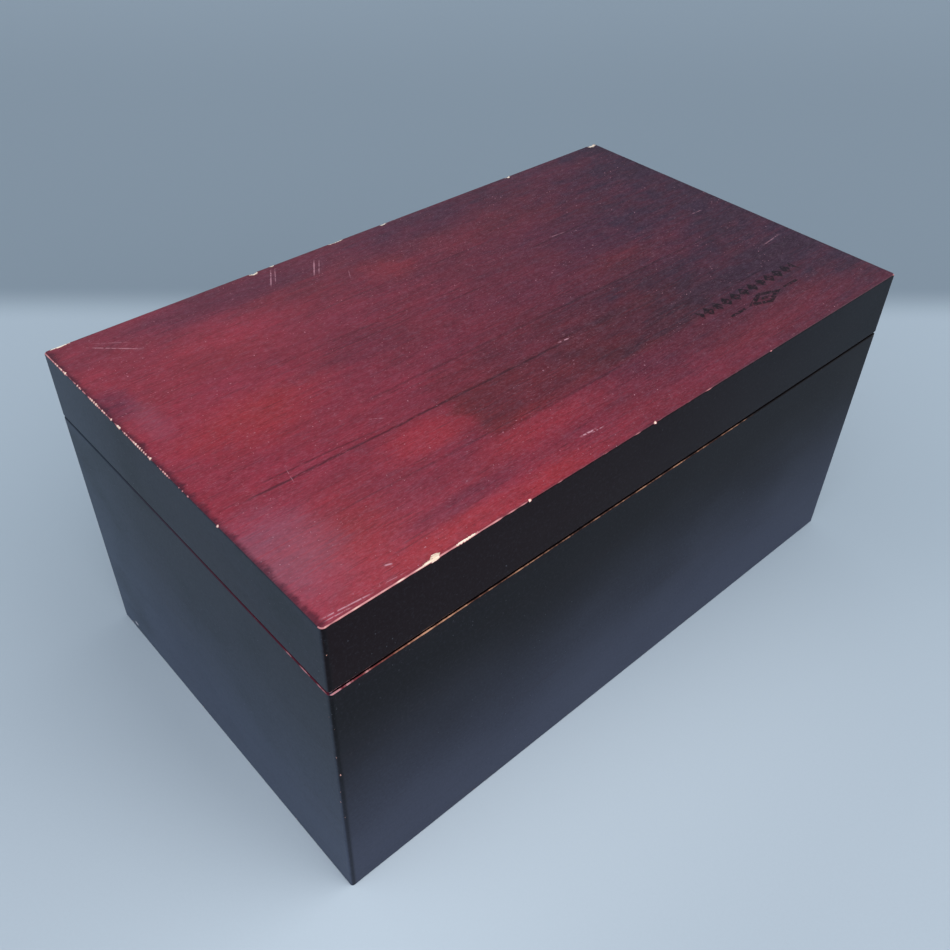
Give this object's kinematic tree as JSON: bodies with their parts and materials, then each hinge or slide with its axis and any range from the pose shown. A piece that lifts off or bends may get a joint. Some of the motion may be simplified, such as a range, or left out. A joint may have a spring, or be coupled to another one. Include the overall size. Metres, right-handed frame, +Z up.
{
  "type": "archival box",
  "caption": "Rectangular wooden archival box with black lacquered sides, a red-stained top and a hinged lid held by two butt hinges at the back.",
  "frame": {"origin": "middle of the underside, on the surface the box stands on", "axes": "+X along the length to the right, +Y towards the hinges at the back, +Z up"},
  "size_m": [0.307, 0.1853, 0.15],
  "materials": {
    "black_lacquered_wood": "satin black lacquer over wood",
    "red_stained_wood": "satin red-brown stain with worn edges",
    "bare_wood": "planed, unfinished",
    "felt": "pressed wool felt",
    "hinge_brass": "brushed, slightly tarnished",
    "pin_steel": "drawn wire"
  },
  "bodies": {
    "base": {"base_front_wall": "black_lacquered_wood", "base_back_wall": "black_lacquered_wood", "base_left_wall": "black_lacquered_wood", "base_right_wall": "black_lacquered_wood", "base_corner_tongues": "bare_wood", "bottom_panel": "bare_wood", "bottom_lining": "felt", "rim_dots": "felt", "left_hinge_base_leaf": "hinge_brass", "left_hinge_pin": "pin_steel", "right_hinge_base_leaf": "hinge_brass", "right_hinge_pin": "pin_steel", "base_hinge_screws": "hinge_brass"},
    "lid": {"lid_panel": "red_stained_wood", "lid_front_rail": "black_lacquered_wood", "lid_back_rail": "black_lacquered_wood", "lid_left_rail": "black_lacquered_wood", "lid_right_rail": "black_lacquered_wood", "lid_corner_tongues": "bare_wood", "lid_lining": "felt", "left_hinge_lid_leaf": "hinge_brass", "right_hinge_lid_leaf": "hinge_brass", "lid_hinge_screws": "hinge_brass"}
  },
  "joints": [
    {"name": "lid_hinge", "type": "hinge", "parent": "base", "child": "lid", "pos_m": [0, 0.092, 0.1198], "axis": [-1, 0, 0], "range_deg": [0, 95]}
  ]
}
